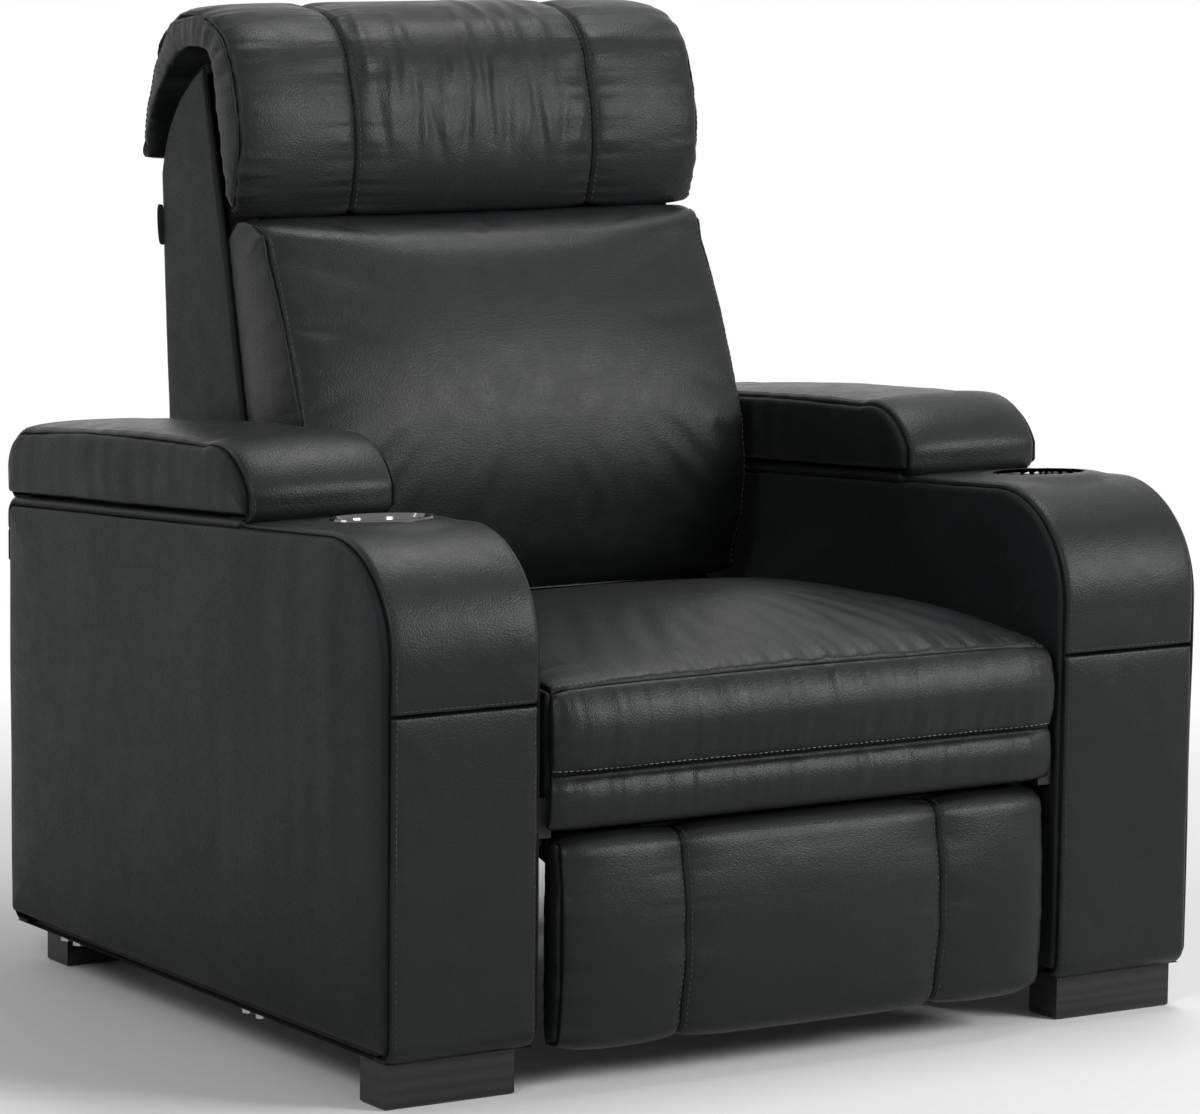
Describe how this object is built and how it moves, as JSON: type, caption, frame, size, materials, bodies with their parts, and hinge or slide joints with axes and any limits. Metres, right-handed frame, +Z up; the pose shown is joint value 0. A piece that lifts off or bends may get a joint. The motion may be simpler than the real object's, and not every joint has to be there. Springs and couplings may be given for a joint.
{
  "type": "cinema recliner seat",
  "caption": "Upholstered powered recliner with storage arms, cup holders, folding footrest, reclining back and tilting headrest.",
  "frame": {"origin": "on the floor, under the middle of the chair's overall box at rest", "axes": "+Z up, the chair faces -Y, +X is the sitter's left"},
  "size_m": [0.96, 0.8924, 1.0232],
  "materials": {
    "leather": "black semi-aniline leather, fine pebble grain, soft sheen",
    "plywood": "dark lined plywood",
    "frame_wood": "raw plywood with steel fittings",
    "foot_wood": "black lacquered wood",
    "cup_chrome": "polished chrome",
    "bin_plastic": "black moulded plastic",
    "webbing": "woven elastic belt",
    "panel_plastic": "black gloss plastic",
    "button_plastic": "grey soft-touch plastic",
    "plated_steel": "bright zinc plated",
    "drive_plastic": "black glass-filled plastic",
    "slider_plastic": "grey acetal",
    "mechanism_steel": "black powder coat"
  },
  "bodies": {
    "base": {"arm_cover_left": "leather", "arm_cover_right": "leather", "arm_frame_left": "plywood", "arm_frame_right": "plywood", "base_rail_left": "plywood", "base_rail_right": "plywood", "connector_bolts": "plated_steel", "control_panel": "panel_plastic", "cross_tubes": "mechanism_steel", "cup_holder_left": "cup_chrome", "cup_holder_right": "cup_chrome", "footrest_drive": "drive_plastic", "front_foot_left": "foot_wood", "front_foot_right": "foot_wood", "lid_hinges": "plated_steel", "plate_pivots": "plated_steel", "power_inlet": "drive_plastic", "rear_feet": "foot_wood", "rear_rail": "plywood", "recline_drive": "drive_plastic", "seat_cushion": "leather", "seat_frame": "plywood", "seat_webbing": "webbing", "side_plate_left": "mechanism_steel", "side_plate_right": "mechanism_steel", "storage_bin_left": "bin_plastic", "storage_bin_right": "bin_plastic"},
    "lid_left": {"lid_board_left": "plywood", "arm_pad_left": "leather", "lid_leaf_left": "plated_steel"},
    "lid_right": {"lid_board_right": "plywood", "arm_pad_right": "leather", "lid_leaf_right": "plated_steel"},
    "long_links": {"long_link_left": "mechanism_steel", "long_link_right": "mechanism_steel", "torque_tube": "mechanism_steel", "link_rivets": "plated_steel"},
    "front_links": {"front_link_left": "mechanism_steel", "front_link_right": "mechanism_steel", "front_link_rivets": "plated_steel"},
    "rear_links": {"rear_link_left": "mechanism_steel", "rear_link_right": "mechanism_steel"},
    "ottoman_links": {"ottoman_link_left": "mechanism_steel", "ottoman_link_right": "mechanism_steel"},
    "footrest": {"footrest_bracket_left": "mechanism_steel", "footrest_bracket_right": "mechanism_steel", "footrest_rivets": "plated_steel", "footrest_board": "plywood", "footrest_pad": "leather"},
    "footrest_slider": {"footrest_slider": "slider_plastic"},
    "back": {"back_frame": "frame_wood", "back_shell": "leather", "back_cushion": "leather"},
    "headrest": {"headrest_board": "frame_wood", "headrest_pad": "leather"},
    "recline_slider": {"recline_slider": "slider_plastic"},
    "button_recline": {"button_recline": "button_plastic"},
    "button_upright": {"button_upright": "button_plastic"},
    "button_headrest_up": {"button_headrest_up": "button_plastic"},
    "button_headrest_down": {"button_headrest_down": "button_plastic"}
  },
  "joints": [
    {"name": "footrest_extend", "type": "hinge", "parent": "base", "child": "long_links", "pos_m": [0, -0.2982, 0.237], "axis": [-1, 0, 0], "range_deg": [0, 105.2]},
    {"name": "footrest_knee", "type": "hinge", "parent": "long_links", "child": "front_links", "pos_m": [0, -0.2037, 0.113], "axis": [1, 0, 0], "range_deg": [0, 105.7]},
    {"name": "footrest_rear_link", "type": "hinge", "parent": "base", "child": "rear_links", "pos_m": [0, -0.3282, 0.221], "axis": [-1, 0, 0], "range_deg": [0, 105.6]},
    {"name": "footrest_heel", "type": "hinge", "parent": "long_links", "child": "ottoman_links", "pos_m": [0, -0.1727, 0.1195], "axis": [1, 0, 0], "range_deg": [0, 111.1]},
    {"name": "footrest_toe", "type": "hinge", "parent": "front_links", "child": "footrest", "pos_m": [0, -0.3642, 0.237], "axis": [-1, 0, 0], "range_deg": [0, 80.5]},
    {"name": "footrest_drive_slide", "type": "slide", "parent": "base", "child": "footrest_slider", "axis": [0, -1, 0], "range_m": [0, 0.0702]},
    {"name": "back_recline", "type": "hinge", "parent": "base", "child": "back", "pos_m": [0, 0.1508, 0.31], "axis": [-1, 0, 0], "range_deg": [0, 38]},
    {"name": "recline_drive_slide", "type": "slide", "parent": "base", "child": "recline_slider", "axis": [0, -1, 0], "range_m": [0, 0.03797]},
    {"name": "headrest_tilt", "type": "hinge", "parent": "back", "child": "headrest", "pos_m": [0, 0.2658, 0.796], "axis": [1, 0, 0], "range_deg": [0, 25]},
    {"name": "lid_left_hinge", "type": "hinge", "parent": "base", "child": "lid_left", "pos_m": [0.39475, 0.38653, 0.50124], "axis": [-1, 0, 0], "range_deg": [0, 80]},
    {"name": "lid_right_hinge", "type": "hinge", "parent": "base", "child": "lid_right", "pos_m": [-0.39475, 0.38653, 0.50124], "axis": [-1, 0, 0], "range_deg": [0, 80]},
    {"name": "button_recline_press", "type": "slide", "parent": "base", "child": "button_recline", "axis": [-1, 0, 0], "range_m": [0, 0.0015], "stiffness_N_per_m": 250},
    {"name": "button_upright_press", "type": "slide", "parent": "base", "child": "button_upright", "axis": [-1, 0, 0], "range_m": [0, 0.0015], "stiffness_N_per_m": 250},
    {"name": "button_headrest_up_press", "type": "slide", "parent": "base", "child": "button_headrest_up", "axis": [-1, 0, 0], "range_m": [0, 0.0015], "stiffness_N_per_m": 250},
    {"name": "button_headrest_down_press", "type": "slide", "parent": "base", "child": "button_headrest_down", "axis": [-1, 0, 0], "range_m": [0, 0.0015], "stiffness_N_per_m": 250}
  ],
  "couplings": [
    {"joint": "footrest_knee", "follows": "footrest_extend", "ratio": 1.0038},
    {"joint": "footrest_rear_link", "follows": "footrest_extend", "ratio": 1.0029},
    {"joint": "footrest_heel", "follows": "footrest_extend", "ratio": 1.0551},
    {"joint": "footrest_toe", "follows": "footrest_extend", "ratio": 0.76426},
    {"joint": "footrest_drive_slide", "follows": "footrest_extend", "m_per_rad": 0.038125},
    {"joint": "recline_drive_slide", "follows": "back_recline", "m_per_rad": 0.056943}
  ]
}
